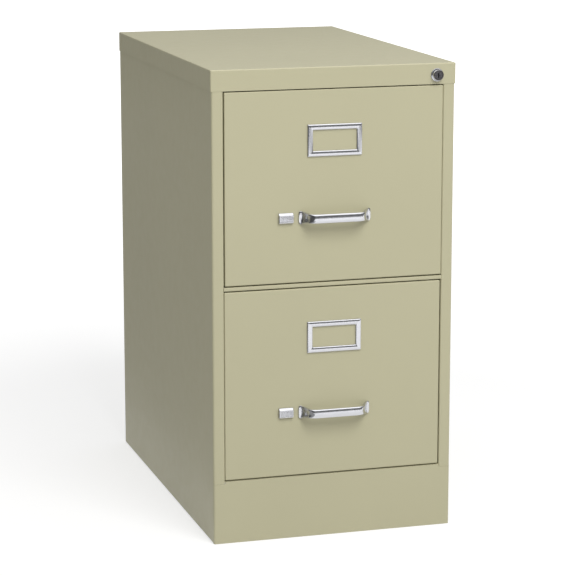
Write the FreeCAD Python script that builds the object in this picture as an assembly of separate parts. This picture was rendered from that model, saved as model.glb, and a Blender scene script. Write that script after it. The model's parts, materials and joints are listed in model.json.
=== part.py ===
import FreeCAD, Part
import math
import os

# Two-drawer vertical file cabinet for letter folders, folded from sheet steel.
# Millimetres. +X is the user's right, -Y the front and +Z up.
# The origin is on the floor, at the centre of the box around cabinet and handles.

# Overall
cabinet_width = 381.0        # over the cap's side flanges
cabinet_height = 720.7
case_depth = 610.0           # stile face to the back of the cap
handle_projection = 25.0     # the handles stand this far in front of the stiles

# Sheet and clearances
sheet = 0.9                  # case and drawer sheet
cap_sheet = 1.0
bend = 1.3                   # inner radius of the folds
corner_bend = 2.3            # and of the two front corners of the case
seat = 0.2                   # gap between nested sheets
slip = 0.3                   # gap beside sliding pieces

# Case
cap_overhang = 1.2           # cap beyond the case at the sides and the back
cap_proud = 0.4              # cap flange and base panel in front of the stiles
cap_flange = 31.7
cap_radius = 1.9
stile_width = 17.9
lip_depth = 14.0             # return of the stile beside the drawer
base_height = 93.0           # base panel under the stiles
base_step = 4.0              # it rises this much between the stiles
base_return = 4.5            # its turned sides
foot_flange = 22.0
side_lift = 1.3              # side panels stop this far above the floor
edge_flange = 14.0           # inward flanges of the side panels
rail_height = 5.8            # visible rail between the drawers
rear_channel_height = 45.0
top_rail_depth = 22.0

# Drawers
side_gap = 1.0               # between front and stile, before the shift
level_gap = 1.75             # above and below each front
front_shift = 0.6            # upper front sits this far right, lower this far left
front_radius = 1.7
liner_flange = 8.0
rear_space = 29.9            # behind the closed drawer
drawer_raise = 8.0           # body bottom above the front's lower edge
side_headroom = 36.6         # top of the sides below the front's upper edge
hem_width = 8.0
hem_drop = 4.0
back_drop = 12.0             # drawer back below the top of the sides
back_flange = 12.0

# Slides: depths are measured inwards from the uprights
slide_thickness = 12.7
slide_setback = 4.0          # behind the drawer's front
slide_level = 95.0           # centre above the front's lower edge
upright_gap = 0.5            # side clearance of the slides' case, beside the opening
outer_half = 22.5
outer_sheet = 1.2
middle_sheet = 1.0
cage_sheet = 0.5
leg_reach = 10.2             # free edge of the outward legs
drawer_leg_start = 4.2       # free edge of the drawer member's legs
ball_diameter = 3.3
ball_play = 0.05
web_gap = 0.25
ball_depth = 6.8
balls_per_leg = 5
cage_length = 280.0
slide_bend = 0.4

# Uprights
upright_width = 30.0
upright_flange = 12.0
front_upright = 62.0         # behind the stile face
rear_upright = 74.0          # its front side, ahead of the slides' back end
bumper_length = 11.7

# Label holder
label_drop = 75.7            # centre below the front's upper edge
label_width = 85.5
label_height = 48.5
label_window_width = 68.0
label_window_height = 30.6
label_depth = 3.5
label_bevel = 1.3
label_tab_height = 7.0
label_tab_reach = 2.6
label_tab_foot = 3.4

# Handle
handle_level = 99.2          # centre above the front's lower edge
handle_length = 112.0
handle_grip_half = 38.0      # straight grip, each side of the middle
handle_foot_height = 20.0
handle_grip_height = 14.0
handle_grip_thickness = 6.0
handle_foot_width = 13.0
handle_toe = 3.0
screw_radius = 2.0
screw_depth = 7.0
screw_head_radius = 4.0
screw_head_height = 2.6
screw_play = 0.1

# Thumb latch
latch_travel = 6.5
button_centre = -76.0
button_width = 22.5
button_height = 15.0
button_depth = 5.0
button_edge = 0.8
stem_width = 8.0
stem_height = 5.5
latch_bar_height = 12.0
latch_bar_thickness = 2.0
latch_bar_gap = 0.6          # behind the stile's lip
latch_bar_inner = 10.0       # the bar ends this far right of the button's centre
latch_hook = 4.1             # the tongue reaches this far behind the stile
latch_bevel = 1.4
latch_guide_length = 10.0
spring_length = 26.0
spring_radius = 2.4
spring_wire = 0.6
spring_turns = 9
spring_stop = 1.2

# Push lock and lock bar
lock_inset = 30.0            # axis, from the edge of the cap
lock_drop = 17.7             # axis, below the top
lock_travel = 6.0
bezel_radius = 9.9
bezel_height = 2.0
barrel_radius = 9.1
barrel_length = 16.4
plunger_radius = 8.2
plunger_length = 28.4
plug_radius = 5.7
plug_length = 18.4
plug_recess = 0.4
turn_play = 0.04
key_width = 1.8
key_height = 7.0
key_depth = 10.0
nut_flat = 10.6
nut_height = 4.0
tail_thickness = 2.5
tail_half = 9.0
pin_radius = 2.0
pin_play = 0.15
lock_bar_thickness = 2.0
lock_bar_width = 10.0
lock_bar_place = 28.0        # front edge behind the stile face
lock_bar_clear = 1.6         # outside the edge of the opening
finger_height = 8.0
finger_clear = 0.6
lug_drop = 20.0              # lug top below the top of the drawer side
lug_height = 9.0
lug_sheet = 1.8
lug_length = 20.0
lug_reach = 9.8
guide_height = 12.0
guide_wall = 1.0
guide_inset = 100.0          # from the ends of the bar

# Places that follow from the sizes above
half_width = cabinet_width / 2
case_half = half_width - cap_overhang
wall_inside = case_half - sheet
opening_half = case_half - stile_width
half_depth = (case_depth + handle_projection) / 2
front = handle_projection - half_depth
cap_back = half_depth
case_back = cap_back - cap_overhang
panel_front = front - cap_proud
case_top = cabinet_height - cap_sheet
cap_bottom = cabinet_height - cap_flange
stile_bottom = base_height + seat
stile_top = cap_bottom - seat
front_depth = lip_depth + latch_bar_gap + latch_bar_thickness + slip + sheet + seat
opening_height = (cap_bottom - base_height - base_step - rail_height) / 2
front_height = opening_height - 2 * level_gap
front_half = opening_half - side_gap
lower_level = base_height + base_step + level_gap
upper_level = lower_level + opening_height + rail_height
slide_outside = opening_half - upright_gap
drawer_half = slide_outside - slide_thickness
drawer_side_height = front_height - drawer_raise - side_headroom
label_level = front_height - label_drop
liner_back = front + front_depth
drawer_length = case_back - sheet - rear_space - liner_back
slide_start = liner_back + slide_setback
slide_length = drawer_length
latch_y = front + lip_depth + latch_bar_gap
lock_x = half_width - lock_inset
lock_z = cabinet_height - lock_drop
lock_bar_x = opening_half + lock_bar_clear
lock_bar_y = front + lock_bar_place
pin_y = lock_bar_y + lock_bar_width / 2
pin_z = lock_z + lock_travel / 2

EXTRUDE = {"xy": (0, 0, 1), "xz": (0, 1, 0), "yz": (1, 0, 0)}


def block(x0, x1, y0, y1, z0, z1):
    corner = FreeCAD.Vector(x0, y0, z0)
    return Part.makeBox(x1 - x0, y1 - y0, z1 - z0, corner)


def rod(radius, start, end):
    line = FreeCAD.Vector(*end) - FreeCAD.Vector(*start)
    return Part.makeCylinder(radius, line.Length, FreeCAD.Vector(*start), line)


def place(plane, point, level):
    a, b = point
    if plane == "xy":
        return FreeCAD.Vector(a, b, level)
    if plane == "xz":
        return FreeCAD.Vector(a, level, b)
    return FreeCAD.Vector(level, a, b)


def prism(plane, points, radii, start, end):
    """Closed outline with a radius at each corner, extruded from start to end."""
    corners = [place(plane, point, start) for point in points]
    edges = []
    joints = []
    for index, corner in enumerate(corners):
        radius = radii[index]
        if radius <= 0:
            joints.append((corner, corner))
            continue
        before = (corners[index - 1] - corner).normalize()
        after = (corners[(index + 1) % len(corners)] - corner).normalize()
        half = before.getAngle(after) / 2
        middle = (before + after).normalize()
        entry = corner + before * (radius / math.tan(half))
        leave = corner + after * (radius / math.tan(half))
        crest = corner + middle * (radius / math.sin(half) - radius)
        edges.append(Part.Arc(entry, crest, leave).toShape())
        joints.append((entry, leave))
    for index, (entry, leave) in enumerate(joints):
        following = joints[(index + 1) % len(joints)][0]
        if leave.distanceToPoint(following) > 1e-6:
            edges.append(Part.makeLine(leave, following))
    wire = Part.Wire(Part.__sortEdges__(edges))
    direction = FreeCAD.Vector(*EXTRUDE[plane]) * (end - start)
    return Part.Face(wire).extrude(direction)


def folded(plane, path, thickness, inner, start, end):
    """Folded sheet. The path is one face of the sheet, which lies on the path's right.

    The inner radius of its folds is one value, or a list with one for each point.
    """
    last = len(path) - 1
    radii = inner if isinstance(inner, list) else [inner] * len(path)
    normals = []
    for index in range(last):
        run = (path[index + 1][0] - path[index][0], path[index + 1][1] - path[index][1])
        length = math.hypot(*run)
        normals.append((run[1] / length, -run[0] / length))
    far = []
    near_radii = []
    far_radii = []
    for index, point in enumerate(path):
        first = normals[max(index - 1, 0)]
        second = normals[min(index, last - 1)]
        scale = thickness / (1 + first[0] * second[0] + first[1] * second[1])
        far.append((point[0] + (first[0] + second[0]) * scale, point[1] + (first[1] + second[1]) * scale))
        turn = first[0] * second[1] - first[1] * second[0]
        near_radii.append(0 if abs(turn) < 1e-9 else radii[index] + (thickness if turn < 0 else 0))
        far_radii.append(0 if abs(turn) < 1e-9 else radii[index] + (thickness if turn > 0 else 0))
    points = list(path) + far[::-1]
    return prism(plane, points, near_radii + far_radii[::-1], start, end)


def soft_block(low, high, axis, closed, radius):
    """Block with rounded corners along an axis and round one of its end faces."""
    shape = block(low[0], high[0], low[1], high[1], low[2], high[2])
    chosen = []
    for edge in shape.Edges:
        ends = [tuple(vertex.Point)[axis] for vertex in edge.Vertexes]
        along = abs(ends[0] - ends[1]) > 1e-6
        on_face = all(abs(end - closed) < 1e-6 for end in ends)
        if along or on_face:
            chosen.append(edge)
    return shape.makeFillet(radius, chosen)


def pan(low, high, axis, closed_low, thickness, radius):
    """Box of sheet, open on one face of the given axis."""
    closed = low[axis] if closed_low else high[axis]
    outer = soft_block(low, high, axis, closed, radius)
    inner_low = [value + thickness for value in low]
    inner_high = [value - thickness for value in high]
    if closed_low:
        inner_high[axis] = high[axis] + thickness
    else:
        inner_low[axis] = low[axis] - thickness
    inner_closed = inner_low[axis] if closed_low else inner_high[axis]
    return outer.cut(soft_block(inner_low, inner_high, axis, inner_closed, radius - thickness))


def eased(shape, picked):
    """Shape with the folded edges that fit inside the cap taken off."""
    size = cap_radius - cap_sheet - seat
    return shape.makeChamfer(size, [edge for edge in shape.Edges if all(map(picked, edge.Vertexes))])


def mirrored(shape):
    return shape.mirror(FreeCAD.Vector(0, 0, 0), FreeCAD.Vector(1, 0, 0))


def joined(shapes):
    result = shapes[0].multiFuse(shapes[1:]) if len(shapes) > 1 else shapes[0]
    return result.removeSplitter()


def side_panel():
    """Left side: wall, stile with its lip, and flanges at the back, top and bottom."""
    back = case_back - sheet
    path = [
        (-opening_half, front + lip_depth),
        (-opening_half, front),
        (-case_half, front),
        (-case_half, back),
        (-case_half + edge_flange, back),
    ]
    shell = folded("xy", path, sheet, [0, bend, corner_bend, bend, 0], side_lift, case_top)
    top_start = front + corner_bend + sheet + seat
    bottom_start = panel_front + base_return
    reach = -opening_half + 1
    cuts = [
        block(-half_width, reach, front - 1, top_start, stile_top, cabinet_height),
        block(-wall_inside, reach, front - 1, front + lip_depth + 1, stile_top, cabinet_height),
        block(-half_width, reach, front - 1, bottom_start, 0, stile_bottom),
        block(-wall_inside, reach, front - 1, front + lip_depth + 1, 0, stile_bottom),
    ]
    shell = shell.cut(cuts)
    inner = -case_half + edge_flange
    rear = back - 2 * sheet - slip
    top_flange = block(-wall_inside, inner, front + top_rail_depth + 2, rear, case_top - sheet, case_top)
    low_flange = block(-wall_inside, inner, bottom_start + slip, rear, side_lift, side_lift + sheet)
    panel = joined([shell, top_flange, low_flange])
    return eased(panel, lambda v: abs(v.Point.x + case_half) < 1e-6 and abs(v.Point.z - case_top) < 1e-6)


def back_panel():
    edge = case_half - seat
    panel = block(-edge, edge, case_back - sheet, case_back, side_lift, case_top)
    return eased(panel, lambda v: abs(v.Point.y - case_back) < 1e-6 and abs(v.Point.z - case_top) < 1e-6)


def top_panel():
    """Cap pan. Its front flange has the hole for the lock."""
    low = (-half_width, panel_front, cap_bottom)
    high = (half_width, cap_back, cabinet_height)
    shape = pan(low, high, 2, False, cap_sheet, cap_radius)
    return shape.cut(lock_hole())


def lock_hole():
    start = (lock_x, panel_front - 1, lock_z)
    end = (lock_x, front + top_rail_depth / 2, lock_z)
    return rod(barrel_radius + screw_play, start, end)


def base_front():
    """Kick panel on the floor. Its top edge steps down under the stiles."""
    turned = panel_front + base_return
    path = [(case_half, turned), (case_half, panel_front), (-case_half, panel_front), (-case_half, turned)]
    top = base_height + base_step
    shape = folded("xy", path, sheet, corner_bend, 0, top)
    shoulders = [
        block(-half_width, -opening_half, panel_front - 1, turned + 1, base_height, top + 1),
        block(opening_half, half_width, panel_front - 1, turned + 1, base_height, top + 1),
    ]
    shape = shape.cut(shoulders)
    inner = wall_inside - bend
    behind = panel_front + sheet
    flange = block(-inner, inner, behind, front + foot_flange, 0, sheet)
    shelf = block(-opening_half, opening_half, behind, front + lip_depth, top - sheet, top)
    return joined([shape, flange, shelf])


def rear_base_channel():
    back = case_back - 2 * sheet
    path = [
        (back - edge_flange, rear_channel_height),
        (back, rear_channel_height),
        (back, 0),
        (back - foot_flange, 0),
    ]
    inner = wall_inside - bend
    return folded("yz", path, sheet, bend, -inner, inner)


def middle_rail():
    low = lower_level + front_height + level_gap
    high = low + rail_height
    path = [(front + lip_depth, low), (front, low), (front, high), (front + lip_depth, high)]
    return folded("yz", path, sheet, slide_bend, -opening_half, opening_half)


def top_rail():
    """Channel behind the cap's front flange, which also carries the lock."""
    near = panel_front + cap_sheet
    low = cap_bottom
    far = front + top_rail_depth
    path = [(far, low), (near, low), (near, case_top), (far, case_top)]
    shape = folded("yz", path, sheet, bend, -wall_inside, wall_inside)
    return shape.cut(lock_hole())


def slide_uprights():
    """Four hat posts that hold the slides off the side walls."""
    crown = slide_outside + sheet
    posts = []
    slide_end = slide_start + slide_length + slip + bumper_length
    for start in (front + front_upright, slide_end - rear_upright):
        end = start + upright_width
        path = [
            (-wall_inside, start - upright_flange),
            (-wall_inside, start),
            (-crown, start),
            (-crown, end),
            (-wall_inside, end),
            (-wall_inside, end + upright_flange),
        ]
        post = folded("xy", path, sheet, bend, side_lift + sheet, case_top - sheet)
        posts += [post, mirrored(post)]
    return Part.makeCompound(posts)


def channel(depth, half, leg_end, thickness, start, length, level):
    """C section on the left of the case, its web at a depth from the uprights."""
    web = -slide_outside + depth
    legs = -slide_outside + leg_end
    path = [(legs, level - half), (web, level - half), (web, level + half), (legs, level + half)]
    if leg_end < depth:
        path.reverse()
    return folded("xz", path, thickness, slide_bend, start, start + length)


def ball_rows():
    """Half heights of the two ball rows, and of the members beside them."""
    outer_row = outer_half - outer_sheet - ball_play - ball_diameter / 2
    middle_half = outer_row - ball_diameter / 2 - ball_play
    inner_row = middle_half - middle_sheet - ball_play - ball_diameter / 2
    inner_half = inner_row - ball_diameter / 2 - ball_play
    return outer_row, middle_half, inner_row, inner_half


def ball_centres(row, level):
    pitch = cage_length / balls_per_leg
    first = slide_start + (slide_length - cage_length + pitch) / 2
    x = -slide_outside + ball_depth
    places = []
    for index in range(balls_per_leg):
        for side in (-1, 1):
            places.append(FreeCAD.Vector(x, first + index * pitch, level + side * row))
    return places


def balls(row, level):
    left = [Part.makeSphere(ball_diameter / 2, centre) for centre in ball_centres(row, level)]
    return Part.makeCompound(left + [mirrored(ball) for ball in left])


def cages(depth, row, level):
    start = slide_start + (slide_length - cage_length) / 2
    half = row + cage_sheet / 2
    shape = channel(depth, half, leg_reach - web_gap, cage_sheet, start, cage_length, level)
    windows = []
    for centre in ball_centres(row, level):
        below = centre - FreeCAD.Vector(0, 0, cage_sheet * 2)
        windows.append(Part.makeCylinder(ball_diameter / 2 + ball_play, cage_sheet * 4, below))
    shape = shape.cut(windows)
    return Part.makeCompound([shape, mirrored(shape)])


def slide_parts(name, level):
    start = slide_start
    centre = level + slide_level
    outer_row, middle_half, inner_row, inner_half = ball_rows()
    middle_web = outer_sheet + 2 * web_gap + cage_sheet
    outer_web = outer_sheet + web_gap
    inner_web = middle_web + middle_sheet + web_gap
    case_length = slide_length + slip + bumper_length
    case = channel(0, outer_half, leg_reach, outer_sheet, start, case_length, centre)
    middle = channel(middle_web, middle_half, leg_reach, middle_sheet, start, slide_length, centre)
    drawer = channel(slide_thickness, inner_half, drawer_leg_start, outer_sheet, start, slide_length, centre)
    members = {"case_member": case, "middle_member": middle, "drawer_member": drawer}
    parts = {}
    for member, shape in members.items():
        parts[name + "_left_" + member] = shape
        parts[name + "_right_" + member] = mirrored(shape)
    parts[name + "_outer_cages"] = cages(outer_web, outer_row, centre)
    parts[name + "_inner_cages"] = cages(inner_web, inner_row, centre)
    parts[name + "_outer_balls"] = balls(outer_row, centre)
    parts[name + "_inner_balls"] = balls(inner_row, centre)
    return parts


def slide_bumpers():
    """Rubber blocks at the back of the case members, behind the sliding members."""
    start = slide_start + slide_length + slip
    shapes = []
    for level in (lower_level, upper_level):
        centre = level + slide_level
        half = outer_half - outer_sheet - slide_bend
        near = -slide_outside + outer_sheet
        far = -slide_outside + leg_reach
        left = block(near, far, start, start + bumper_length, centre - half, centre + half)
        shapes += [left, mirrored(left)]
    return Part.makeCompound(shapes)


def stem_slot(centre):
    left = button_centre - stem_width / 2 - slip
    right = button_centre + stem_width / 2 + latch_travel + slip
    half = stem_height / 2 + slip
    return block(left, right, front - 1, front + sheet + 1, centre - half, centre + half)


def latch_window(centre):
    """Opening in the left flanges of the front, for the latch bar."""
    half = latch_bar_height / 2 + slip
    near = latch_y - slip
    far = latch_y + latch_bar_thickness + slip
    return block(-opening_half, -front_half + 3 * sheet + side_gap, near, far, centre - half, centre + half)


def screw_places():
    x = handle_length / 2 - handle_foot_width / 2
    return (-x, x)


def label_tabs(centre, grow):
    """Tabs behind the label holder, or with some growth the slots for them."""
    half = label_tab_height / 2 + grow
    side = (label_width + label_window_width) / 4
    tabs = []
    for x in (-side, side):
        near = x - sheet / 2 - grow
        far = x + sheet / 2 + grow
        tabs.append(block(near, far, front, front + label_tab_reach, centre - half, centre + half))
    return tabs


def front_panel(level, shift):
    low = (-front_half + shift, front, level)
    high = (front_half + shift, liner_back, level + front_height)
    shape = pan(low, high, 1, True, sheet, front_radius)
    centre = level + handle_level
    cuts = [stem_slot(centre), latch_window(centre)] + label_tabs(level + label_level, slip)
    for x in screw_places():
        cuts.append(rod(screw_radius + slip, (x, front - 1, centre), (x, front + 2, centre)))
    return shape.cut(cuts)


def front_liner(level, shift):
    """Pan inside the front panel, closed at the back."""
    side = front_half - sheet
    low = (-side + shift, liner_back - liner_flange, level + sheet)
    high = (side + shift, liner_back, level + front_height - sheet)
    shape = pan(low, high, 1, False, sheet, front_radius - sheet + 0.3)
    return shape.cut(latch_window(level + handle_level))


def drawer_body(level):
    """Bottom and high sides in one sheet, with hems that folders hang on."""
    low = level + drawer_raise
    high = low + drawer_side_height
    inner = drawer_half - hem_width
    path = [
        (inner, high - hem_drop),
        (inner, high),
        (drawer_half, high),
        (drawer_half, low),
        (-drawer_half, low),
        (-drawer_half, high),
        (-inner, high),
        (-inner, high - hem_drop),
    ]
    return folded("xz", path, sheet, slide_bend, liner_back, liner_back + drawer_length)


def drawer_back(level):
    inside = drawer_half - sheet
    low = level + drawer_raise + sheet + slide_bend
    high = level + drawer_raise + drawer_side_height - back_drop
    back = liner_back + drawer_length
    path = [(inside, back - back_flange), (inside, back), (-inside, back), (-inside, back - back_flange)]
    path.reverse()
    return folded("xy", path, sheet, bend, low, high)


def label_holder(level):
    """Card frame with bevelled edges, held by two tabs through the panel."""
    centre = level + label_level
    half_x = label_width / 2
    half_z = label_height / 2
    near = front - label_depth
    frame = block(-half_x, half_x, near, front, centre - half_z, centre + half_z)
    window_x = label_window_width / 2
    window_z = label_window_height / 2
    window = block(-window_x, window_x, near - 1, front + 1, centre - window_z, centre + window_z)
    frame = frame.cut(window)
    face_edges = []
    for edge in frame.Edges:
        if all(abs(vertex.Point.y - near) < 1e-6 for vertex in edge.Vertexes):
            face_edges.append(edge)
    frame = frame.makeChamfer(label_bevel, face_edges)
    tabs = label_tabs(centre, 0)
    side = (label_width + label_window_width) / 4
    top = label_tab_height / 2
    feet = []
    for sign in (-1, 1):
        ends = sorted((sign * side, sign * (side - label_tab_foot)))
        heel = front + label_tab_reach
        feet.append(block(ends[0], ends[1], heel - sheet, heel, centre - top, centre + top))
    return joined([frame] + tabs + feet)


def handle(level):
    """Arch pull: two feet, flared legs and a straight grip."""
    centre = level + handle_level
    end = handle_length / 2
    nose = front - handle_projection
    inner_nose = nose + handle_grip_thickness
    heel = end - handle_foot_width
    plan = [
        (-end, front),
        (-end, front - handle_toe),
        (-handle_grip_half, nose),
        (handle_grip_half, nose),
        (end, front - handle_toe),
        (end, front),
        (heel, front),
        (handle_grip_half - handle_toe, inner_nose),
        (-handle_grip_half + handle_toe, inner_nose),
        (-heel, front),
    ]
    bow = handle_grip_thickness
    radii = [0, 1, 2 * bow, 2 * bow, 1, 0, 0, bow, bow, 0]
    tall = handle_foot_height / 2
    slim = handle_grip_height / 2
    arch = prism("xy", plan, radii, centre - tall, centre + tall)
    swell = handle_grip_half + handle_foot_width
    waist = [
        (-end - 1, -tall),
        (-swell, -tall),
        (-handle_grip_half, -slim),
        (handle_grip_half, -slim),
        (swell, -tall),
        (end + 1, -tall),
    ]
    outline = waist + [(x, -z) for x, z in reversed(waist)]
    outline = [(x, z + centre) for x, z in outline]
    rounding = [0, bow, bow, bow, bow, 0]
    face = prism("xz", outline, rounding * 2, nose - 1, front)
    shape = arch.common(face)
    for x in screw_places():
        depth = front - screw_depth - slip
        shape = shape.cut(rod(screw_radius + screw_play, (x, front, centre), (x, depth, centre)))
    return shape


def handle_screws(level):
    centre = level + handle_level
    seat_y = front + sheet
    screws = []
    for x in screw_places():
        shank = rod(screw_radius, (x, seat_y, centre), (x, front - screw_depth, centre))
        head = rod(screw_head_radius, (x, seat_y, centre), (x, seat_y + screw_head_height, centre))
        screws.append(joined([shank, head]))
    return Part.makeCompound(screws)


def latch_button(level):
    """Thumb button with the stem that carries it on the latch bar."""
    centre = level + handle_level
    half_x = button_width / 2
    half_z = button_height / 2
    back = front - slip
    near = back - button_depth
    cap = block(button_centre - half_x, button_centre + half_x, near, back, centre - half_z, centre + half_z)
    edges = [edge for edge in cap.Edges if any(abs(v.Point.y - near) < 1e-6 for v in edge.Vertexes)]
    cap = cap.makeFillet(button_edge, edges)
    stem_x = stem_width / 2
    stem_z = stem_height / 2
    left = button_centre - stem_x
    stem = block(left, left + stem_width, back, latch_y, centre - stem_z, centre + stem_z)
    return joined([cap, stem])


def latch_bar(level):
    """Flat bar behind the front, with a tongue that hooks behind the left stile."""
    centre = level + handle_level
    half = latch_bar_height / 2
    tip = -opening_half - latch_hook
    end = button_centre + latch_bar_inner
    back = latch_y + latch_bar_thickness
    outline = [
        (tip, latch_y),
        (end, latch_y),
        (end, back),
        (tip + latch_bevel, back),
        (tip, back - latch_bevel),
    ]
    return prism("xy", outline, [0] * len(outline), centre - half, centre + half)


def latch_guides(level):
    """Two loops on the liner that the bar slides in, and the spring's stop."""
    centre = level + handle_level
    plate = liner_back - sheet
    near = latch_y - slip - sheet
    inner = latch_bar_height / 2 + slip
    outer = inner + sheet
    shapes = []
    left_guide = -front_half + 2 * latch_guide_length
    right_guide = button_centre - button_width - latch_guide_length
    for x in (left_guide, right_guide):
        end = x + latch_guide_length
        loop = block(x, end, near, plate, centre - outer, centre + outer)
        hollow = block(x - 1, end + 1, near + sheet, plate + 1, centre - inner, centre + inner)
        shapes.append(loop.cut(hollow))
    stop = button_centre + latch_bar_inner + spring_length
    half = spring_radius + sheet
    shapes.append(block(stop, stop + spring_stop, near, plate, centre - half, centre + half))
    return Part.makeCompound(shapes)


def latch_spring(level):
    """Compression spring between the bar's end and its stop."""
    start = button_centre + latch_bar_inner + spring_wire / 2 + slip / 3
    run = spring_length - spring_wire - 2 * slip / 3
    centre = level + handle_level
    middle = liner_back - sheet - slip - spring_radius - spring_wire / 2
    helix = Part.makeHelix(run / spring_turns, run, spring_radius)
    section = Part.Wire(Part.makeCircle(
        spring_wire / 2, FreeCAD.Vector(spring_radius, 0, 0), FreeCAD.Vector(0, 1, 0)))
    coil = Part.Wire(helix.Edges).makePipeShell([section], True, True)
    coil.rotate(FreeCAD.Vector(0, 0, 0), FreeCAD.Vector(0, 1, 0), 90)
    coil.translate(FreeCAD.Vector(start, middle, centre))
    return coil


def lug_top(level):
    return level + drawer_raise + drawer_side_height - lug_drop


def lock_lug(level):
    """Angle on the drawer's right side that the lock bar's finger holds."""
    high = lug_top(level)
    low = high - lug_height
    near = lock_bar_y + lock_bar_width + finger_clear
    path = [
        (drawer_half + lug_reach, near),
        (drawer_half, near),
        (drawer_half, near + lug_length),
    ]
    return folded("xy", path, lug_sheet, slide_bend, low, high)


def lock_housing():
    """Bezel and barrel of the push lock."""
    near = panel_front - bezel_height
    bezel = rod(bezel_radius, (lock_x, near, lock_z), (lock_x, panel_front, lock_z))
    edges = [edge for edge in bezel.Edges if abs(edge.CenterOfMass.y - near) < 1e-6]
    bezel = bezel.makeFillet(bezel_height / 3, edges)
    end = panel_front + barrel_length
    barrel = rod(barrel_radius, (lock_x, panel_front, lock_z), (lock_x, end, lock_z))
    bore = rod(plunger_radius + turn_play, (lock_x, near - 1, lock_z), (lock_x, end + 1, lock_z))
    return joined([bezel, barrel]).cut(bore)


def lock_nut():
    """Hexagon nut that clamps the housing behind the top rail."""
    near = panel_front + cap_sheet + sheet
    corner = nut_flat / math.cos(math.pi / 6)
    points = []
    for index in range(6):
        angle = index * math.pi / 3
        points.append((lock_x + corner * math.cos(angle), lock_z + corner * math.sin(angle)))
    far = near + nut_height
    shape = prism("xz", points, [0] * 6, near, far)
    hole = rod(barrel_radius + turn_play, (lock_x, near - 1, lock_z), (lock_x, far + 1, lock_z))
    return shape.cut(hole)


def plunger_face():
    return panel_front - bezel_height - lock_travel


def lock_plunger():
    """Push cylinder. The slot in its tail lowers the lock bar as it goes in."""
    face = plunger_face()
    end = face + plunger_length
    shape = rod(plunger_radius, (lock_x, face, lock_z), (lock_x, end, lock_z))
    rim = [edge for edge in shape.Edges if abs(edge.CenterOfMass.y - face) < 1e-6]
    shape = shape.makeFillet(turn_play * 15, rim)
    bore_end = face + plug_recess + plug_length + slip
    shape = shape.cut(rod(plug_radius, (lock_x, face - 1, lock_z), (lock_x, bore_end, lock_z)))
    tail_end = pin_y + 3 * pin_radius
    half = tail_thickness / 2
    tail = block(lock_x - half, lock_x + half, end, tail_end, lock_z - tail_half, lock_z + tail_half)
    radius = pin_radius + pin_play
    slope = radius / math.sqrt(2)
    top = (pin_y, pin_z)
    low = (pin_y - lock_travel, pin_z - lock_travel)
    corners = [
        (top[0] - slope, top[1] + slope),
        (top[0] + slope, top[1] - slope),
        (low[0] + slope, low[1] - slope),
        (low[0] - slope, low[1] + slope),
    ]
    left = lock_x - tail_thickness
    right = lock_x + tail_thickness
    slot = prism("yz", corners, [0] * 4, left, right)
    ends = [rod(radius, (left, y, z), (right, y, z)) for y, z in (top, low)]
    return joined([shape, tail.cut([slot] + ends)])


def lock_plug():
    """Key plug with a keyhole in its face."""
    near = plunger_face() + plug_recess
    shape = rod(plug_radius - turn_play, (lock_x, near, lock_z), (lock_x, near + plug_length, lock_z))
    half_x = key_width / 2
    half_z = key_height / 2
    low = (lock_x - half_x, near - 1, lock_z - half_z)
    high = (lock_x + half_x, near + key_depth, lock_z + half_z)
    hole = block(low[0], high[0], low[1], high[1], low[2], high[2])
    return shape.cut(hole)


def lock_bar_ends():
    return lug_top(lower_level) + finger_clear, pin_z + 3 * pin_radius


def lock_bar():
    """Gang bar with a finger over each drawer's lug, and the pin in the lock's tail."""
    back = lock_bar_y + lock_bar_width
    finger_front = back - lock_bar_thickness
    tip = drawer_half + lug_reach / 2
    bottom, top = lock_bar_ends()
    side = lock_bar_x + lock_bar_thickness
    pieces = [block(lock_bar_x, side, lock_bar_y, back, bottom, top)]
    for level in (lower_level, upper_level):
        low = lug_top(level) + finger_clear
        pieces.append(block(tip, lock_bar_x, finger_front, back, low, low + finger_height))
    pin_end = lock_x - tail_thickness
    pieces.append(rod(pin_radius, (lock_bar_x, pin_y, pin_z), (pin_end, pin_y, pin_z)))
    return joined(pieces)


def lock_bar_guides():
    """Moulded guides on the right wall, with a slot that the bar slides in."""
    shapes = []
    near = lock_bar_y - slip - guide_wall
    far = lock_bar_y + lock_bar_width + slip + guide_wall
    left = lock_bar_x - slip
    right = lock_bar_x + lock_bar_thickness + slip
    bottom, top = lock_bar_ends()
    for level in (bottom + guide_inset, top - guide_inset - guide_height):
        body = block(left - guide_wall, wall_inside, near, far, level, level + guide_height)
        slot = block(left, right, near + guide_wall, far - guide_wall, level - 1, level + guide_height + 1)
        shapes.append(body.cut(slot))
    return Part.makeCompound(shapes)


def drawer_parts(name, level, shift):
    parts = {
        "front_panel": front_panel(level, shift),
        "front_liner": front_liner(level, shift),
        "drawer_body": drawer_body(level),
        "drawer_back": drawer_back(level),
        "label_holder": label_holder(level),
        "handle": handle(level),
        "handle_screws": handle_screws(level),
        "latch_button": latch_button(level),
        "latch_bar": latch_bar(level),
        "latch_guides": latch_guides(level),
        "latch_spring": latch_spring(level),
        "lock_lug": lock_lug(level),
    }
    return {name + "_" + piece: shape for piece, shape in parts.items()}


def cabinet():
    left = side_panel()
    parts = {
        "left_side_panel": left,
        "right_side_panel": mirrored(left),
        "back_panel": back_panel(),
        "top_panel": top_panel(),
        "base_front": base_front(),
        "rear_base_channel": rear_base_channel(),
        "middle_rail": middle_rail(),
        "top_rail": top_rail(),
        "slide_uprights": slide_uprights(),
        "slide_bumpers": slide_bumpers(),
        "lock_housing": lock_housing(),
        "lock_nut": lock_nut(),
        "lock_plunger": lock_plunger(),
        "lock_plug": lock_plug(),
        "lock_bar": lock_bar(),
        "lock_bar_guides": lock_bar_guides(),
    }
    for name, level, shift in (("upper", upper_level, front_shift), ("lower", lower_level, -front_shift)):
        parts.update(drawer_parts(name, level, shift))
        parts.update(slide_parts(name, level))
    return parts


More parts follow.
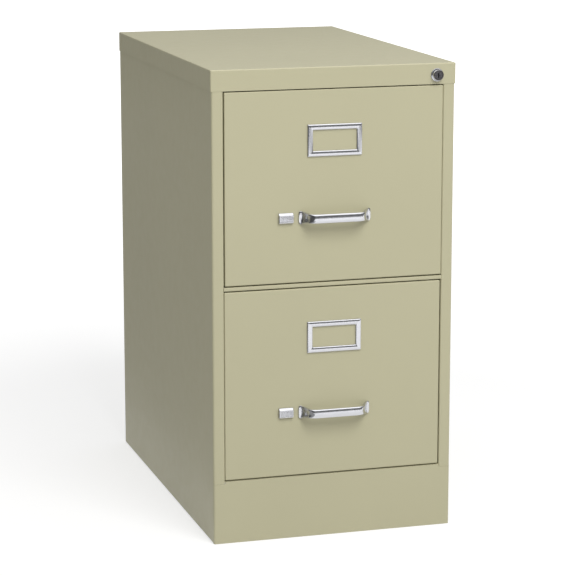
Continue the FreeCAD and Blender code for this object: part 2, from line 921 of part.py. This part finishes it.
os.makedirs("parts", exist_ok=True)
for node, shape in cabinet().items():
    shape.exportStep("parts/" + node + ".step")
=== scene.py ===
import bpy
import json
import math
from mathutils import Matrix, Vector

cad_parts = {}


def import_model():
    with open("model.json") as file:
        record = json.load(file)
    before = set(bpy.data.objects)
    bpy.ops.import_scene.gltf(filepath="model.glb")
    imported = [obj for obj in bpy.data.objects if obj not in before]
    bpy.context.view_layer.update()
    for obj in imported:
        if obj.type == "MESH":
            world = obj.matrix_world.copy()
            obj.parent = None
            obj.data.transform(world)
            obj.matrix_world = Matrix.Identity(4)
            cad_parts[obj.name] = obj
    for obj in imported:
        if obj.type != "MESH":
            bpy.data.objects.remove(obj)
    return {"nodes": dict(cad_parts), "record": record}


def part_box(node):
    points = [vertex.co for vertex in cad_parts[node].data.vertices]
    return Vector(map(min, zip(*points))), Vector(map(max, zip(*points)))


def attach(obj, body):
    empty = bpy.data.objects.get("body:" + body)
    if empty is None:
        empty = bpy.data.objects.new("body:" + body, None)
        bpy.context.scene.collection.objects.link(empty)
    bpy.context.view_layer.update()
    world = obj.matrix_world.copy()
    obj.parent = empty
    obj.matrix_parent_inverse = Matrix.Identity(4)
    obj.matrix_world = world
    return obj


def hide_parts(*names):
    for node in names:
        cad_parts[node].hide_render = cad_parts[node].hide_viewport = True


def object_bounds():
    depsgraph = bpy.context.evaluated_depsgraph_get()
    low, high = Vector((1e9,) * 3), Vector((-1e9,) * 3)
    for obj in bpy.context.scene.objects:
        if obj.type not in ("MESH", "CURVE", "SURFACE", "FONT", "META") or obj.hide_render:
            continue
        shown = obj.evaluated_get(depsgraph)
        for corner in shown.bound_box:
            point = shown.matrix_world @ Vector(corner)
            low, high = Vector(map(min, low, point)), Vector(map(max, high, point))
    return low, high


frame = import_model()
cad_low, cad_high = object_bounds()
MM = 0.001
DRAWERS = ("upper", "lower")

# Camera: eye height and place of someone standing left of the cabinet, on a long lens
EYE = Vector((-1.052, -3.581, 1.101))
PITCH = math.radians(-11.70)
YAW = math.radians(16.59)
LENS = 146.25
SENSOR = 36

# Colours, linear
PAINT = (0.533, 0.506, 0.338)
CHROME = (0.62, 0.625, 0.655)
ZINC = (0.56, 0.575, 0.58)
BALL_STEEL = (0.68, 0.68, 0.7)
PLUG_DARK = (0.10, 0.10, 0.11)
PLUG_LIGHT = (0.20, 0.19, 0.20)
LOCK_FACE = (0.16, 0.15, 0.15)
PALE_PLASTIC = (0.72, 0.72, 0.68)
BLACK_RUBBER = (0.035, 0.035, 0.036)


# ---------------------------------------------------------------- node helpers

def material(name):
    made = bpy.data.materials.new(name)
    made.use_nodes = True
    tree = made.node_tree
    return made, tree, tree.nodes["Principled BSDF"]


def node(tree, kind, **values):
    made = tree.nodes.new(kind)
    for key, value in values.items():
        setattr(made, key, value)
    return made


def noise(tree, scale, detail=2.0, stretch=(1, 1, 1)):
    """Noise over object space, stretched along the axes."""
    place = node(tree, "ShaderNodeTexCoord")
    mapping = node(tree, "ShaderNodeMapping")
    mapping.inputs["Scale"].default_value = stretch
    texture = node(tree, "ShaderNodeTexNoise")
    texture.inputs["Scale"].default_value = scale
    texture.inputs["Detail"].default_value = detail
    tree.links.new(place.outputs["Object"], mapping.inputs["Vector"])
    tree.links.new(mapping.outputs["Vector"], texture.inputs["Vector"])
    return texture.outputs["Fac"]


def spread(tree, source, low, high, start=0.3, end=0.7):
    """A value from a texture, spread between two numbers."""
    ramp = node(tree, "ShaderNodeMapRange")
    ramp.inputs["From Min"].default_value = start
    ramp.inputs["From Max"].default_value = end
    ramp.inputs["To Min"].default_value = low
    ramp.inputs["To Max"].default_value = high
    tree.links.new(source, ramp.inputs["Value"])
    return ramp.outputs["Result"]


def tint(tree, source, first, second, socket):
    """Colour between two tones."""
    mix = node(tree, "ShaderNodeMix", data_type="RGBA")
    mix.inputs["A"].default_value = (*first, 1)
    mix.inputs["B"].default_value = (*second, 1)
    tree.links.new(source, mix.inputs["Factor"])
    tree.links.new(mix.outputs["Result"], socket)


def bump(tree, shader, source, strength, distance):
    made = node(tree, "ShaderNodeBump")
    made.inputs["Strength"].default_value = strength
    made.inputs["Distance"].default_value = distance
    tree.links.new(source, made.inputs["Height"])
    tree.links.new(made.outputs["Normal"], shader.inputs["Normal"])


def shade(colour, amount):
    """A colour made darker or lighter."""
    return tuple(min(1.0, channel * amount) for channel in colour)


def paint():
    """Satin baked enamel: faint orange peel and slow drift of tone."""
    made, tree, shader = material("putty_paint")
    drift = spread(tree, noise(tree, scale=3.5), low=0, high=1)
    tint(tree, drift, shade(PAINT, 0.985), shade(PAINT, 1.015), shader.inputs["Base Color"])
    gloss = spread(tree, noise(tree, scale=60, detail=3), low=0.40, high=0.47)
    tree.links.new(gloss, shader.inputs["Roughness"])
    shader.inputs["Specular IOR Level"].default_value = 0.45
    bump(tree, shader, noise(tree, scale=620, detail=1.5), strength=0.05, distance=0.0002)
    return made


def chrome():
    """Bright plating of the handles, card frames, buttons and lock bezel."""
    made, tree, shader = material("chrome_trim")
    shader.inputs["Metallic"].default_value = 1
    drift = spread(tree, noise(tree, scale=90), low=0, high=1)
    tint(tree, drift, shade(CHROME, 0.98), shade(CHROME, 1.02), shader.inputs["Base Color"])
    gloss = spread(tree, noise(tree, scale=240, detail=3), low=0.17, high=0.21)
    tree.links.new(gloss, shader.inputs["Roughness"])
    bump(tree, shader, noise(tree, scale=900), strength=0.012, distance=0.00005)
    return made


def zinc(name, colour, rough, stretch):
    """Plain steel, its noise drawn out into lines where an axis is stretched."""
    made, tree, shader = material(name)
    shader.inputs["Metallic"].default_value = 1
    lines = noise(tree, scale=300, detail=3, stretch=stretch)
    drift = spread(tree, lines, low=0, high=1)
    tint(tree, drift, shade(colour, 0.85), shade(colour, 1.1), shader.inputs["Base Color"])
    gloss = spread(tree, lines, low=rough - 0.06, high=rough + 0.08)
    tree.links.new(gloss, shader.inputs["Roughness"])
    bump(tree, shader, lines, strength=0.08, distance=0.0002)
    return made


def plug_metal():
    """Dark metal of the key plug."""
    made, tree, shader = material("lock_plug_metal")
    shader.inputs["Metallic"].default_value = 1
    drift = spread(tree, noise(tree, scale=500), low=0, high=1)
    tint(tree, drift, PLUG_DARK, PLUG_LIGHT, shader.inputs["Base Color"])
    shader.inputs["Roughness"].default_value = 0.32
    bump(tree, shader, noise(tree, scale=900), strength=0.1, distance=0.0002)
    return made


def lock_chrome():
    """Chrome on the side of the lock's plunger, dark satin on its face."""
    made, tree, shader = material("lock_chrome")
    shader.inputs["Metallic"].default_value = 1
    place = node(tree, "ShaderNodeTexCoord")
    split = node(tree, "ShaderNodeSeparateXYZ")
    tree.links.new(place.outputs["Normal"], split.inputs["Vector"])
    face = spread(tree, split.outputs["Y"], low=1, high=0, start=-0.97, end=-0.8)
    tint(tree, face, CHROME, LOCK_FACE, shader.inputs["Base Color"])
    gloss = spread(tree, noise(tree, scale=700, detail=2), low=0.2, high=0.26)
    tree.links.new(gloss, shader.inputs["Roughness"])
    bump(tree, shader, noise(tree, scale=1500), strength=0.03, distance=0.0001)
    return made


def moulded(name, colour, rough):
    """Plastic or rubber with a fine moulded grain."""
    made, tree, shader = material(name)
    drift = spread(tree, noise(tree, scale=200), low=0, high=1)
    tint(tree, drift, shade(colour, 0.92), shade(colour, 1.06), shader.inputs["Base Color"])
    shader.inputs["Roughness"].default_value = rough
    bump(tree, shader, noise(tree, scale=1200), strength=0.12, distance=0.0002)
    return made


FINISHES = {
    "putty_paint": paint(),
    "chrome_trim": chrome(),
    "zinc_steel": zinc("zinc_steel", ZINC, rough=0.38, stretch=(1, 0.05, 1)),
    "ball_steel": zinc("ball_steel", BALL_STEEL, rough=0.15, stretch=(1, 1, 1)),
    "lock_plug_metal": plug_metal(),
    "guide_plastic": moulded("guide_plastic", PALE_PLASTIC, rough=0.55),
    "bumper_rubber": moulded("bumper_rubber", BLACK_RUBBER, rough=0.75),
}


def finish_cad_nodes():
    """Every CAD node gets the finish of its slot, and the plunger its two tones."""
    slots = {part["node"]: part["material_slot"] for part in frame["record"]["subparts"]}
    for name, piece in frame["nodes"].items():
        piece.data.materials.clear()
        piece.data.materials.append(FINISHES[slots[name]])
    plunger = frame["nodes"]["lock_plunger"]
    plunger.data.materials[0] = lock_chrome()


# ---------------------------------------------------------------- mesh helpers

def piece(name, points, faces, body, slot, stands_for):
    """A smooth mesh that rides on a body and stands for CAD nodes."""
    mesh = bpy.data.meshes.new(name)
    mesh.from_pydata([tuple(point) for point in points], [], faces)
    mesh.validate()
    mesh.polygons.foreach_set("use_smooth", [True] * len(mesh.polygons))
    mesh.materials.append(FINISHES[slot])
    made = bpy.data.objects.new(name, mesh)
    bpy.context.scene.collection.objects.link(made)
    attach(made, body)
    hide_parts(*stands_for)
    return made


def loft(rings, closed=False):
    """Skin over rings of equal count, capped, or with its last ring joined to its first."""
    count = len(rings[0])
    points = [point for ring in rings for point in ring]
    faces = []
    spans = len(rings) if closed else len(rings) - 1
    for row in range(spans):
        here = row * count
        there = (row + 1) % len(rings) * count
        for index in range(count):
            after = (index + 1) % count
            faces.append((here + index, here + after, there + after, there + index))
    if not closed:
        last = (len(rings) - 1) * count
        faces.append(tuple(reversed(range(count))))
        faces.append(tuple(range(last, last + count)))
    return points, faces


def ease(low, high, value):
    """0 below low, 1 above high, and a smooth step between them."""
    t = min(max((value - low) / (high - low), 0.0), 1.0)
    return t * t * (3 - 2 * t)


def sharpen(made, angle):
    """Hard edges where faces meet at more than this many degrees."""
    made.data.set_sharp_from_angle(angle=math.radians(angle))


# ---------------------------------------------------------------- handles

HANDLE_BEND = 17 * MM        # from the grip into the leg
HANDLE_FLARE = 5 * MM        # from the leg into the foot
HANDLE_SLOPE = math.radians(62)
HANDLE_TOE_SLOPE = math.radians(6)
HANDLE_TOE = 3 * MM          # thickness of the foot at its end
HANDLE_TOE_CORNER = 2.2 * MM
HANDLE_GRIP_HEIGHT = 14 * MM
HANDLE_THICKNESS = 6 * MM
HANDLE_NARROWS = (1 * MM, 12 * MM)   # from the foot's end, down to the grip's height
HANDLE_THICKENS = (2 * MM, 8 * MM)   # from the foot's end, up to the full thickness
HANDLE_TURNS = (5 * MM, 15 * MM)     # past the straight grip, into the leg's section
HANDLE_POWER = 2.3           # how full the section is on the grip
HANDLE_LEG_POWER = 0.9       # and what the leg adds to that
HANDLE_DISH = 1.8 * MM       # hollow in the face of the leg
HANDLE_DISH_POWER = 1.3
HANDLE_RIM = 1.3 * MM        # solid end of the foot, before the hollow starts
HANDLE_RIM_EASE = 3 * HANDLE_RIM
HANDLE_STEP = 0.5 * MM
HANDLE_RING = 56
SHARP = 50                   # degrees


def arch_path(half_length, depth):
    """Half of the arch, as (along, back, slope) from its middle to its foot, and the
    length of its straight grip."""
    stations = []
    bend_rise = HANDLE_BEND * (1 - math.cos(HANDLE_SLOPE))
    flare_rise = HANDLE_FLARE * (math.cos(HANDLE_TOE_SLOPE) - math.cos(HANDLE_SLOPE))
    leg = (depth - HANDLE_TOE - bend_rise - flare_rise) / math.sin(HANDLE_SLOPE)
    bend_run = HANDLE_BEND * math.sin(HANDLE_SLOPE)
    leg_run = leg * math.cos(HANDLE_SLOPE)
    flare_run = HANDLE_FLARE * (math.sin(HANDLE_SLOPE) - math.sin(HANDLE_TOE_SLOPE))
    grip = half_length - bend_run - leg_run - flare_run
    lengths = [
        (grip, 0.0, 0.0),
        (HANDLE_BEND * HANDLE_SLOPE, 0.0, HANDLE_SLOPE),
        (leg, HANDLE_SLOPE, HANDLE_SLOPE),
        (HANDLE_FLARE * (HANDLE_SLOPE - HANDLE_TOE_SLOPE), HANDLE_SLOPE, HANDLE_TOE_SLOPE),
    ]
    x = y = 0.0
    for length, first, second in lengths:
        steps = max(2, round(length / HANDLE_STEP))
        for step in range(steps):
            slope = first + (second - first) * (step + 0.5) / steps
            stations.append((x, y, first + (second - first) * step / steps))
            x += length / steps * math.cos(slope)
            y += length / steps * math.sin(slope)
    stations.append((x, y, HANDLE_TOE_SLOPE))
    return stations, grip


def corner_loss(edge):
    """How much lower the foot is, each side, this far from its rounded end."""
    inside = max(0.0, HANDLE_TOE_CORNER - edge)
    return HANDLE_TOE_CORNER - math.sqrt(HANDLE_TOE_CORNER ** 2 - inside ** 2)


def handle_ring(low, high, side, station, grip):
    """Section across the arch. Its face is domed on the grip and hollow on the leg."""
    x, y, slope = station
    half_length = (high.x - low.x) / 2
    edge = max(0.0, half_length - x)
    splay = 1 - ease(*HANDLE_NARROWS, edge)
    height = HANDLE_GRIP_HEIGHT + (high.z - low.z - HANDLE_GRIP_HEIGHT) * splay
    half_height = height / 2 - corner_loss(edge)
    leg = ease(grip + HANDLE_TURNS[0], grip + HANDLE_TURNS[1], x)
    hollow = HANDLE_DISH * leg * ease(HANDLE_RIM, HANDLE_RIM_EASE, edge)
    thickness = HANDLE_TOE + (HANDLE_THICKNESS - HANDLE_TOE) * ease(*HANDLE_THICKENS, edge)
    power = 2 / (HANDLE_POWER + HANDLE_LEG_POWER * leg)
    normal = Vector((side * math.sin(slope), -math.cos(slope), 0))
    middle = (low + high) / 2
    front = Vector((middle.x + side * x, low.y + y, middle.z))
    ring = []
    for index in range(HANDLE_RING):
        angle = 2 * math.pi * index / HANDLE_RING
        across = math.copysign(abs(math.cos(angle)) ** power, math.cos(angle))
        out = math.copysign(abs(math.sin(angle)) ** power, math.sin(angle))
        dish = hollow * (1 - across * across) ** HANDLE_DISH_POWER if out > 0 else 0
        place = front + normal * ((out - 1) * thickness / 2 - dish)
        place = place + Vector((0, 0, across * half_height))
        place.y = min(place.y, high.y)
        ring.append(place)
    return ring


def handle(drawer):
    """Arch pull with a flared foot at each end."""
    node_name = drawer + "_handle"
    low, high = (Vector(corner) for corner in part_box(node_name))
    stations, grip = arch_path((high.x - low.x) / 2, high.y - low.y)
    rings = [handle_ring(low, high, -1, station, grip) for station in reversed(stations[1:])]
    rings += [handle_ring(low, high, 1, station, grip) for station in stations]
    points, faces = loft(rings)
    points = [Vector((min(max(p.x, low.x), high.x), p.y, p.z)) for p in points]
    made = piece(
        drawer + "_arch_pull", points, faces, drawer + "_drawer", "chrome_trim", [node_name])
    sharpen(made, SHARP)


SCREW_HEAD = 4 * MM          # radius
SCREW_HEAD_HEIGHT = 2.6 * MM
SCREW_SHANK = 2 * MM         # radius
SCREW_SHORT = 4.5 * MM       # left off the shank, so that it ends inside the foot
SCREW_SIDES = 32


def screws(drawer):
    """The two screws of the handle, from their heads in the drawer up into its feet."""
    node_name = drawer + "_handle_screws"
    low, high = (Vector(corner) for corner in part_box(node_name))
    seat = high.y - SCREW_HEAD_HEIGHT
    profile = (
        (high.y, SCREW_HEAD),
        (seat, SCREW_HEAD),
        (seat, SCREW_SHANK),
        (low.y + SCREW_SHORT, SCREW_SHANK),
    )
    middle = (low.z + high.z) / 2
    points = []
    faces = []
    for x in (low.x + SCREW_HEAD, high.x - SCREW_HEAD):
        rings = []
        for y, radius in profile:
            ring = []
            for index in range(SCREW_SIDES):
                turn = 2 * math.pi * index / SCREW_SIDES
                ring.append(Vector((x + radius * math.cos(turn), y, middle + radius * math.sin(turn))))
            rings.append(ring)
        start = len(points)
        more_points, more_faces = loft(rings)
        points += more_points
        faces += [tuple(start + index for index in face) for face in more_faces]
    made = piece(
        drawer + "_pull_screws", points, faces, drawer + "_drawer", "zinc_steel", [node_name])
    sharpen(made, SHARP)


# ---------------------------------------------------------------- card frames

FRAME_CORNER = 1.1 * MM
FRAME_CORNER_STEPS = 6
FRAME_BAR = 8.8 * MM
FRAME_EDGE = 0.30            # height of the bar's side walls, as a share of its depth
FRAME_STEPS = 16
FRAME_POWER = 2.3            # how full its rounded top is


def frame_profile():
    """Section of the bar: share of its width from the outside, and of its depth."""
    profile = [(0, 0)]
    for step in range(FRAME_STEPS + 1):
        share = 0.5 - 0.5 * math.cos(math.pi * step / FRAME_STEPS)
        round_top = (1 - abs(2 * share - 1) ** FRAME_POWER) ** (1 / FRAME_POWER)
        profile.append((share, FRAME_EDGE + (1 - FRAME_EDGE) * round_top))
    return profile + [(1, 0)]


def rounded_rectangle(half_x, half_z, radius):
    """Loop of (x, z) places, with the same count of them at any size."""
    loop = []
    corners = ((1, 1, 0), (-1, 1, 90), (-1, -1, 180), (1, -1, 270))
    for sign_x, sign_z, start in corners:
        for step in range(FRAME_CORNER_STEPS):
            angle = math.radians(start + 90 * step / (FRAME_CORNER_STEPS - 1))
            x = sign_x * (half_x - radius) + radius * math.cos(angle)
            z = sign_z * (half_z - radius) + radius * math.sin(angle)
            loop.append((x, z))
    return loop


def card_frame(drawer):
    """Frame of four rounded bars round an open window."""
    node_name = drawer + "_label_holder"
    low, high = (Vector(corner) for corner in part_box(node_name))
    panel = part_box(drawer + "_front_panel")[0][1]
    centre = (low + high) / 2
    half_x = (high.x - low.x) / 2
    half_z = (high.z - low.z) / 2
    depth = panel - low.y
    rings = []
    for share, rise in frame_profile():
        inset = share * FRAME_BAR
        loop = rounded_rectangle(half_x - inset, half_z - inset, FRAME_CORNER)
        rings.append([Vector((centre.x + x, panel - rise * depth, centre.z + z)) for x, z in loop])
    points, faces = loft(rings, closed=True)
    made = piece(
        drawer + "_card_frame", points, faces, drawer + "_drawer", "chrome_trim", [node_name])
    sharpen(made, SHARP)


# ---------------------------------------------------------------- thumb buttons

RIB_PITCH = 2 * MM
RIB_DEPTH = 0.4 * MM
RIB_FOOT = (1.6 * MM, 2.4 * MM)      # where the ribs fade in, up from the lower edge
RIB_HEAD = (4.2 * MM, 3.4 * MM)      # where they fade out, down from the upper edge
RIB_SIDE = (1.6 * MM, 0.9 * MM)      # and in from each side
BUTTON_BEVEL = 3.2 * MM      # upper bevel, which catches the light
BUTTON_BEVEL_RISE = 0.75
BUTTON_FOOT = 1.4 * MM       # lower bevel
BUTTON_SIDE = 0.7 * MM
BUTTON_EDGE_RISE = 0.8       # slope of the lower and side bevels
BUTTON_BODY = 5 * MM
BUTTON_COLUMNS = 145
BUTTON_ROWS = 60
BUTTON_SHARP = 40            # degrees
STEM_HALF_WIDTH = 4 * MM
STEM_HALF_HEIGHT = 2.75 * MM


def button_depth(x, z, half_x, half_z):
    """How far the face stands back from the button's front, at a place on it."""
    top = max(0.0, z - (half_z - BUTTON_BEVEL)) * BUTTON_BEVEL_RISE
    foot = max(0.0, -half_z + BUTTON_FOOT - z) * BUTTON_EDGE_RISE
    side = max(0.0, abs(x) - half_x + BUTTON_SIDE) * BUTTON_EDGE_RISE
    above = ease(-half_z + RIB_FOOT[0], -half_z + RIB_FOOT[1], z)
    below = 1 - ease(half_z - RIB_HEAD[0], half_z - RIB_HEAD[1], z)
    inside = 1 - ease(half_x - RIB_SIDE[0], half_x - RIB_SIDE[1], abs(x))
    wave = 0.5 - 0.5 * math.cos(2 * math.pi * x / RIB_PITCH)
    rib = RIB_DEPTH * wave * (above * below) * inside
    return top + foot + side + rib


def button(drawer):
    """Ribbed cap, as a grid of depths with side walls and a back, and its square stem."""
    node_name = drawer + "_latch_button"
    low, high = (Vector(corner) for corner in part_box(node_name))
    half_x = (high.x - low.x) / 2
    half_z = (high.z - low.z) / 2
    centre = (low + high) / 2
    back = low.y + BUTTON_BODY
    columns = BUTTON_COLUMNS
    rows = BUTTON_ROWS
    points = []
    faces = []
    for row in range(rows + 1):
        z = -half_z + 2 * half_z * row / rows
        for column in range(columns + 1):
            x = -half_x + 2 * half_x * column / columns
            y = low.y + button_depth(x, z, half_x, half_z)
            points.append(Vector((centre.x + x, y, centre.z + z)))
    width = columns + 1
    for row in range(rows):
        for column in range(columns):
            first = row * width + column
            faces.append((first, first + 1, first + 1 + width, first + width))
    edge = list(range(width))
    edge += [row * width + columns for row in range(1, rows + 1)]
    edge += [rows * width + column for column in range(columns - 1, -1, -1)]
    edge += [row * width for row in range(rows - 1, 0, -1)]
    start = len(points)
    for index in edge:
        points.append(Vector((points[index].x, back, points[index].z)))
    count = len(edge)
    for index in range(count):
        after = (index + 1) % count
        faces.append((edge[after], edge[index], start + index, start + after))
    faces.append(tuple(range(start, start + count)))
    xs = (centre.x - STEM_HALF_WIDTH, centre.x + STEM_HALF_WIDTH)
    zs = (centre.z - STEM_HALF_HEIGHT, centre.z + STEM_HALF_HEIGHT)
    points, faces = add_block(points, faces, xs, (back, high.y), zs)
    made = piece(
        drawer + "_thumb_button", points, faces, drawer + "_latch", "chrome_trim", [node_name])
    sharpen(made, BUTTON_SHARP)


def add_block(points, faces, xs, ys, zs):
    """The mesh with a box added to it, given by its two limits along each axis."""
    start = len(points)
    corners = [Vector((x, y, z)) for x in xs for y in ys for z in zs]
    sides = ((0, 1, 3, 2), (4, 6, 7, 5), (0, 4, 5, 1), (2, 3, 7, 6), (0, 2, 6, 4), (1, 5, 7, 3))
    return points + corners, faces + [tuple(start + corner for corner in side) for side in sides]


# ---------------------------------------------------------------- studio

AMBIENT = 0.53
FLOOR_TONE = 0.5
FLOOR_ROUGHNESS = 0.9
FLOOR_SPECULAR = 0.1
FLOOR_LIFT = 0.60            # brightness added near the object, for rays that see the floor
FLOOR_FAR_LIFT = 1.02
FLOOR_LIFT_START = 0.8       # metres from the middle of the floor
FLOOR_LIFT_END = 3.5
FLOOR_REACH = 12
FLOOR_DROP = 0.0003          # below the object, so that the two don't share a plane

WALL_REACH = 4.6
WALL_HEIGHT = 3.0
WALL_SIDES = 24
WALL_TONE = 0.20
CEILING = ((-3, 3), (-4, 3), 3.3)            # x limits, y limits, height
CEILING_TONE = 1.8
LEFT_FLOOR = ((-3.5, -0.3), (-1.2, 4), 0.001)
LEFT_FLOOR_TONE = 0.36
LEFT_CARD = (-1.3, (-2.6, 1.2), (0, 1.5))    # x, y limits, z limits
LEFT_CARD_TONE = 0.09

KEY_PLACE = (0.45, -2.9, 3.0)
KEY_AIM = (0, -0.2, 0.45)
KEY_SIZE = (2.1, 2.1)
KEY_POWER = 91


def seen_rays(tree):
    """1 for rays from the camera, and for those that mirror or pass through."""
    path = node(tree, "ShaderNodeLightPath")
    first = node(tree, "ShaderNodeMath", operation="MAXIMUM")
    second = node(tree, "ShaderNodeMath", operation="MAXIMUM")
    tree.links.new(path.outputs["Is Camera Ray"], first.inputs[0])
    tree.links.new(path.outputs["Is Glossy Ray"], first.inputs[1])
    tree.links.new(first.outputs[0], second.inputs[0])
    tree.links.new(path.outputs["Is Transmission Ray"], second.inputs[1])
    return second.outputs[0]


def staged(name, corners):
    """One flat face that is scenery and not part of the object."""
    mesh = bpy.data.meshes.new(name)
    mesh.from_pydata(corners, [], [tuple(range(len(corners)))])
    made = bpy.data.objects.new(name, mesh)
    bpy.context.scene.collection.objects.link(made)
    return made


def level(xs, ys, z):
    """Corners of a level rectangle."""
    return [(xs[0], ys[0], z), (xs[1], ys[0], z), (xs[1], ys[1], z), (xs[0], ys[1], z)]


def floor():
    """Floor that shows white but keeps the object's soft shadow."""
    reach = (-FLOOR_REACH, FLOOR_REACH)
    made = staged("floor", level(reach, reach, 0))
    made.location.z = cad_low[2] - FLOOR_DROP
    cover, tree, shader = material("floor")
    shader.inputs["Base Color"].default_value = (FLOOR_TONE, FLOOR_TONE, FLOOR_TONE, 1)
    shader.inputs["Roughness"].default_value = FLOOR_ROUGHNESS
    shader.inputs["Specular IOR Level"].default_value = FLOOR_SPECULAR
    place = node(tree, "ShaderNodeTexCoord")
    away = node(tree, "ShaderNodeVectorMath", operation="LENGTH")
    tree.links.new(place.outputs["Object"], away.inputs[0])
    lift = node(tree, "ShaderNodeEmission")
    glow = spread(tree, away.outputs["Value"], low=FLOOR_LIFT, high=FLOOR_FAR_LIFT,
                  start=FLOOR_LIFT_START, end=FLOOR_LIFT_END)
    tree.links.new(glow, lift.inputs["Strength"])
    add = node(tree, "ShaderNodeAddShader")
    mix = node(tree, "ShaderNodeMixShader")
    tree.links.new(shader.outputs["BSDF"], add.inputs[0])
    tree.links.new(lift.outputs["Emission"], add.inputs[1])
    tree.links.new(seen_rays(tree), mix.inputs["Fac"])
    tree.links.new(shader.outputs["BSDF"], mix.inputs[1])
    tree.links.new(add.outputs["Shader"], mix.inputs[2])
    tree.links.new(mix.outputs["Shader"], tree.nodes["Material Output"].inputs["Surface"])
    made.data.materials.append(cover)


def world():
    """Even light all round, and plain white where the background is seen."""
    made = bpy.data.worlds.new("studio")
    bpy.context.scene.world = made
    made.use_nodes = True
    tree = made.node_tree
    tree.nodes.clear()
    fill = node(tree, "ShaderNodeBackground")
    fill.inputs["Strength"].default_value = AMBIENT
    white = node(tree, "ShaderNodeBackground")
    for light in (fill, white):
        light.inputs["Color"].default_value = (1, 1, 1, 1)
    mix = node(tree, "ShaderNodeMixShader")
    output = node(tree, "ShaderNodeOutputWorld")
    tree.links.new(seen_rays(tree), mix.inputs["Fac"])
    tree.links.new(fill.outputs["Background"], mix.inputs[1])
    tree.links.new(white.outputs["Background"], mix.inputs[2])
    tree.links.new(mix.outputs["Shader"], output.inputs["Surface"])


def flag(name, corners, tone):
    """A card that only reflections see, as photographers use to shape chrome."""
    made = staged(name, corners)
    cover, tree = material(name)[:2]
    card = node(tree, "ShaderNodeEmission")
    card.inputs["Strength"].default_value = tone
    tree.links.new(card.outputs["Emission"], tree.nodes["Material Output"].inputs["Surface"])
    made.data.materials.append(cover)
    made.visible_camera = False
    made.visible_diffuse = False
    made.visible_shadow = False
    made.visible_transmission = False


def flags():
    """Dim walls all round under a bright ceiling, and two cards on the left: a dim one on
    the floor and a dark one upright."""
    for index in range(WALL_SIDES):
        first = 2 * math.pi * index / WALL_SIDES
        second = 2 * math.pi * (index + 1) / WALL_SIDES
        a = (WALL_REACH * math.cos(first), WALL_REACH * math.sin(first))
        b = (WALL_REACH * math.cos(second), WALL_REACH * math.sin(second))
        corners = [(*a, 0), (*b, 0), (*b, WALL_HEIGHT), (*a, WALL_HEIGHT)]
        flag("wall_%02d" % index, corners, WALL_TONE)
    flag("ceiling", level(*CEILING), CEILING_TONE)
    flag("left_floor", level(*LEFT_FLOOR), LEFT_FLOOR_TONE)
    x, ys, zs = LEFT_CARD
    upright = [(x, ys[0], zs[0]), (x, ys[1], zs[0]), (x, ys[1], zs[1]), (x, ys[0], zs[1])]
    flag("left_card", upright, LEFT_CARD_TONE)


def softbox(name, place, aim, size, power):
    """Area light that chrome doesn't mirror. The cards stand in for it there."""
    data = bpy.data.lights.new(name, "AREA")
    data.shape = "RECTANGLE"
    data.size, data.size_y = size
    data.energy = power
    made = bpy.data.objects.new(name, data)
    bpy.context.scene.collection.objects.link(made)
    made.location = place
    made.rotation_euler = (Vector(aim) - Vector(place)).to_track_quat("-Z", "Y").to_euler()
    made.visible_glossy = False


def camera():
    data = bpy.data.cameras.new("camera")
    data.lens = LENS
    data.sensor_width = SENSOR
    made = bpy.data.objects.new("camera", data)
    bpy.context.scene.collection.objects.link(made)
    made.location = EYE
    made.rotation_euler = (math.pi / 2 + PITCH, 0, -YAW)
    bpy.context.scene.camera = made


finish_cad_nodes()
for drawer in DRAWERS:
    handle(drawer)
    screws(drawer)
    card_frame(drawer)
    button(drawer)
floor()
world()
flags()
softbox("key", KEY_PLACE, KEY_AIM, KEY_SIZE, KEY_POWER)
camera()
bpy.context.scene.view_settings.view_transform = "Standard"
